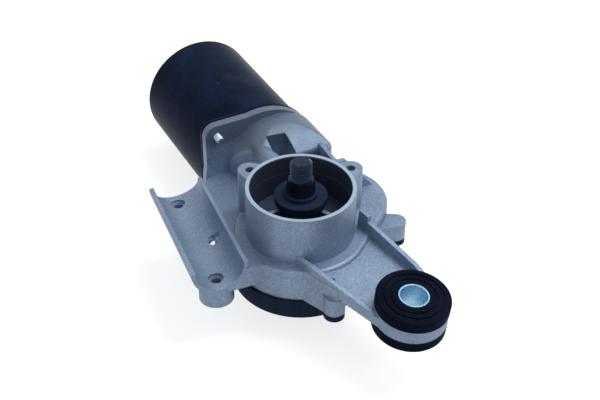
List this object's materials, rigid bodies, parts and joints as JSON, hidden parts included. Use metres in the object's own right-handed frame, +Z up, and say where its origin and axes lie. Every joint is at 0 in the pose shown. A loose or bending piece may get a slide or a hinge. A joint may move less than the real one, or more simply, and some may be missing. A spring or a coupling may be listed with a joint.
{
  "type": "wiper motor",
  "caption": "Geared wiper motor: an output shaft in a cast cup, a round motor can on its side, a tube saddle and a rubber-bushed arm.",
  "frame": {"origin": "on the output shaft's axis in the plane of the cup's rim", "axes": "+Z up the output shaft, +Y along the motor can towards its closed end, +X towards the bulge of the gear chamber"},
  "size_m": [0.1107, 0.232, 0.0782],
  "materials": {
    "cast_aluminium": "as cast, fine grain",
    "black_can": "satin black coat",
    "gasket_fibre": "dull",
    "zinc_steel": "bright zinc plated",
    "black_steel": "phosphated, oiled",
    "black_rubber": "matt",
    "black_plastic": "moulded, fine grain",
    "cap_plastic": "moulded",
    "gear_plastic": "moulded natural acetal",
    "bare_steel": "ground",
    "bronze": "sintered, oiled",
    "brass_sheet": "stamped",
    "copper": "drawn",
    "lamination_iron": "stacked sheet",
    "ferrite": "sintered, ground",
    "carbon": "pressed",
    "board": "phenolic sheet"
  },
  "bodies": {
    "housing": {"gear_housing": "cast_aluminium", "motor_can": "black_can", "can_gasket": "gasket_fibre", "can_screws": "zinc_steel", "magnets": "ferrite", "magnet_clips": "bare_steel", "rear_bearing": "bronze", "bearing_retainer": "bare_steel", "middle_bush": "bronze", "front_bush": "bronze", "thrust_pad": "gear_plastic", "brush_plate": "board", "brush_holders": "brass_sheet", "carbon_brushes": "carbon", "brush_springs": "bare_steel", "chokes": "copper", "thermal_breaker": "bare_steel", "shaft_bush_upper": "bronze", "shaft_bush_lower": "bronze", "counter_pin": "bare_steel", "gear_cover": "black_plastic", "cover_gasket": "gasket_fibre", "cover_screws": "zinc_steel", "contact_plate": "board", "contact_fingers": "brass_sheet", "connector_pins": "brass_sheet", "grommet": "black_rubber", "mount_sleeve": "zinc_steel"},
    "armature": {"armature_shaft": "bare_steel", "lamination_stack": "lamination_iron", "windings": "copper", "commutator": "copper", "commutator_core": "black_plastic"},
    "counter": {"counter_gear": "gear_plastic", "counter_pinion": "bare_steel"},
    "output": {"output_shaft": "black_steel", "output_gear": "gear_plastic", "shaft_cap": "cap_plastic", "retaining_ring": "bare_steel", "thrust_washer": "bare_steel", "contact_disc": "copper"}
  },
  "joints": [
    {"name": "armature_spin", "type": "hinge", "parent": "housing", "child": "armature", "pos_m": [0.0125, 0, -0.033], "axis": [0, 1, 0], "continuous": true},
    {"name": "counter_spin", "type": "hinge", "parent": "housing", "child": "counter", "pos_m": [0.0255, 0.01273, -0.033], "axis": [0, 0, 1], "continuous": true},
    {"name": "output_spin", "type": "hinge", "parent": "housing", "child": "output", "pos_m": [0, 0, 0], "axis": [0, 0, 1], "continuous": true}
  ],
  "couplings": [
    {"joint": "counter_spin", "follows": "armature_spin", "ratio": 0.083333},
    {"joint": "output_spin", "follows": "armature_spin", "ratio": -0.019928}
  ]
}
